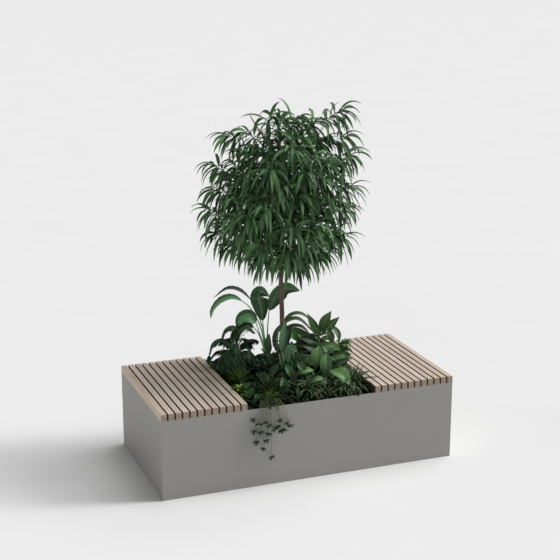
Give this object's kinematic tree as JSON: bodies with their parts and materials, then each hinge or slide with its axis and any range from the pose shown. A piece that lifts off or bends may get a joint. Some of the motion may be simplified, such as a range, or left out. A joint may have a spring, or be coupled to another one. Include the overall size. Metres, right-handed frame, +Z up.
{
  "type": "street planter with seats",
  "caption": "Rectangular sheet-metal planter box with a slatted hardwood seat over each end and a planted trough between them: a slender tree, underplanting and trailing runners.",
  "frame": {"origin": "centre of the footprint, on the ground", "axes": "+X along the length to the right as seen from the front, +Y to the rear, +Z up"},
  "size_m": [1.6, 0.9402, 1.9],
  "materials": {
    "shell_coating": "matte",
    "seat_wood": "matte",
    "galvanised_steel": "satin",
    "fastener_steel": "satin",
    "liner_plastic": "matte",
    "skid_plastic": "matte",
    "drain_plastic": "satin",
    "gravel": "matte",
    "fleece": "matte",
    "soil": "matte",
    "bark": "matte",
    "tree_leaf": "satin",
    "paddle_leaf": "satin",
    "broad_leaf": "satin",
    "fern_leaf": "satin",
    "grass_leaf": "satin",
    "spider_leaf": "satin",
    "runner_stem": "matte"
  },
  "bodies": {
    "planter": {"base_plate": "galvanised_steel", "base_skids": "skid_plastic", "bearer_cleats": "galvanised_steel", "bearer_rivets": "fastener_steel", "broadleaf_plant_front": "broad_leaf", "broadleaf_plant_rear": "broad_leaf", "corner_angles": "galvanised_steel", "drain_outlets": "drain_plastic", "drainage_gravel": "gravel", "fern": "fern_leaf", "filter_fleece": "fleece", "foot_nuts": "fastener_steel", "front_panel": "shell_coating", "grass_tufts": "grass_leaf", "left_bulkhead": "galvanised_steel", "left_end_panel": "shell_coating", "left_seat_bearers": "galvanised_steel", "left_slat_01": "seat_wood", "left_slat_02": "seat_wood", "left_slat_03": "seat_wood", "left_slat_04": "seat_wood", "left_slat_05": "seat_wood", "left_slat_06": "seat_wood", "left_slat_07": "seat_wood", "left_slat_08": "seat_wood", "left_slat_09": "seat_wood", "left_slat_10": "seat_wood", "left_slat_11": "seat_wood", "left_slat_12": "seat_wood", "planting_liner": "liner_plastic", "rear_panel": "shell_coating", "right_bulkhead": "galvanised_steel", "right_end_panel": "shell_coating", "right_seat_bearers": "galvanised_steel", "right_slat_01": "seat_wood", "right_slat_02": "seat_wood", "right_slat_03": "seat_wood", "right_slat_04": "seat_wood", "right_slat_05": "seat_wood", "right_slat_06": "seat_wood", "right_slat_07": "seat_wood", "right_slat_08": "seat_wood", "right_slat_09": "seat_wood", "right_slat_10": "seat_wood", "right_slat_11": "seat_wood", "right_slat_12": "seat_wood", "root_balls": "soil", "shell_fixings": "fastener_steel", "slat_screws": "fastener_steel", "soil": "soil", "spider_plant": "spider_leaf", "strelitzia": "paddle_leaf", "trailing_runners": "runner_stem", "tree_branches": "bark", "tree_foliage": "tree_leaf", "tree_trunk": "bark"},
    "front_left_foot": {"foot_front_left": "fastener_steel"},
    "front_right_foot": {"foot_front_right": "fastener_steel"},
    "rear_left_foot": {"foot_rear_left": "fastener_steel"},
    "rear_right_foot": {"foot_rear_right": "fastener_steel"}
  },
  "joints": [
    {"name": "front_left_foot_screw", "type": "slide", "parent": "planter", "child": "front_left_foot", "axis": [0, 0, -1], "range_m": [0, 0.025]},
    {"name": "front_right_foot_screw", "type": "slide", "parent": "planter", "child": "front_right_foot", "axis": [0, 0, -1], "range_m": [0, 0.025]},
    {"name": "rear_left_foot_screw", "type": "slide", "parent": "planter", "child": "rear_left_foot", "axis": [0, 0, -1], "range_m": [0, 0.025]},
    {"name": "rear_right_foot_screw", "type": "slide", "parent": "planter", "child": "rear_right_foot", "axis": [0, 0, -1], "range_m": [0, 0.025]}
  ]
}
